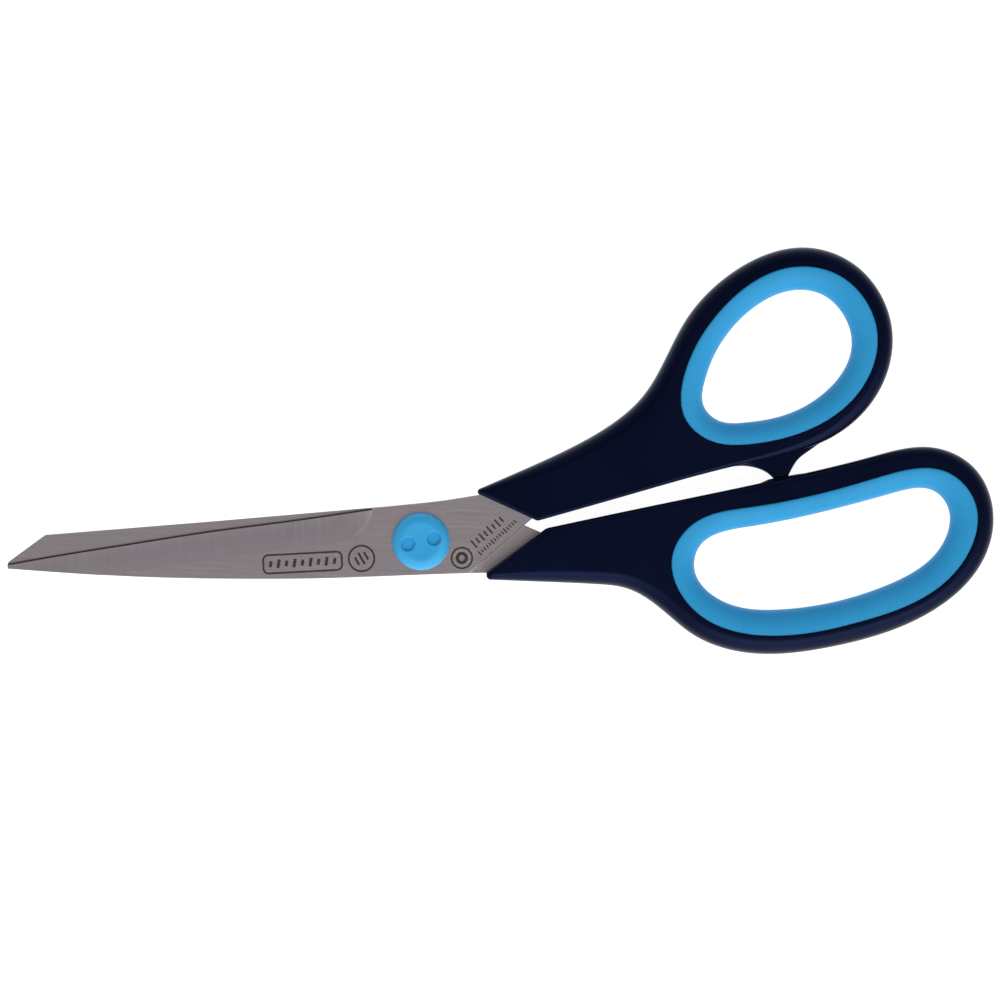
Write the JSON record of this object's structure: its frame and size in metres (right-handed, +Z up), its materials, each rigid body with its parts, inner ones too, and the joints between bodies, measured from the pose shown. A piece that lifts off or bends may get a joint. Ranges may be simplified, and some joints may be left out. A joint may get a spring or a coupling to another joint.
{
  "type": "office scissors",
  "caption": "Closed scissors with stamped steel blades, a domed pivot cap, hard handles with soft lined finger loops and a stop web between them.",
  "frame": {"origin": "middle of the bounding box, on the surface the closed scissors lie on", "axes": "+X from the tips towards the handles, +Y towards the thumb loop, +Z up, along the pivot"},
  "size_m": [0.2158, 0.089, 0.01],
  "materials": {
    "blade_steel": "stainless steel, brushed along the blade, with cross-ground bevels",
    "handle_plastic": "very dark navy moulded plastic, satin",
    "grip_rubber": "sky blue soft-touch thermoplastic rubber, matt",
    "cap_plastic": "sky blue moulded plastic, satin",
    "pivot_steel": "turned steel, zinc plated",
    "washer_nylon": "natural nylon"
  },
  "bodies": {
    "rear_half": {"rear_blade": "blade_steel", "finger_handle": "handle_plastic", "finger_grip": "grip_rubber", "pivot_nut": "pivot_steel", "pivot_screw": "pivot_steel", "wave_washer": "pivot_steel", "friction_washer": "washer_nylon", "pivot_cap": "cap_plastic"},
    "front_half": {"front_blade": "blade_steel", "thumb_handle": "handle_plastic", "thumb_grip": "grip_rubber"}
  },
  "joints": [
    {"name": "blade_pivot", "type": "hinge", "parent": "rear_half", "child": "front_half", "pos_m": [-0.01737, -0.01982, 0.005], "axis": [0, 0, 1], "range_deg": [0, 110]}
  ]
}
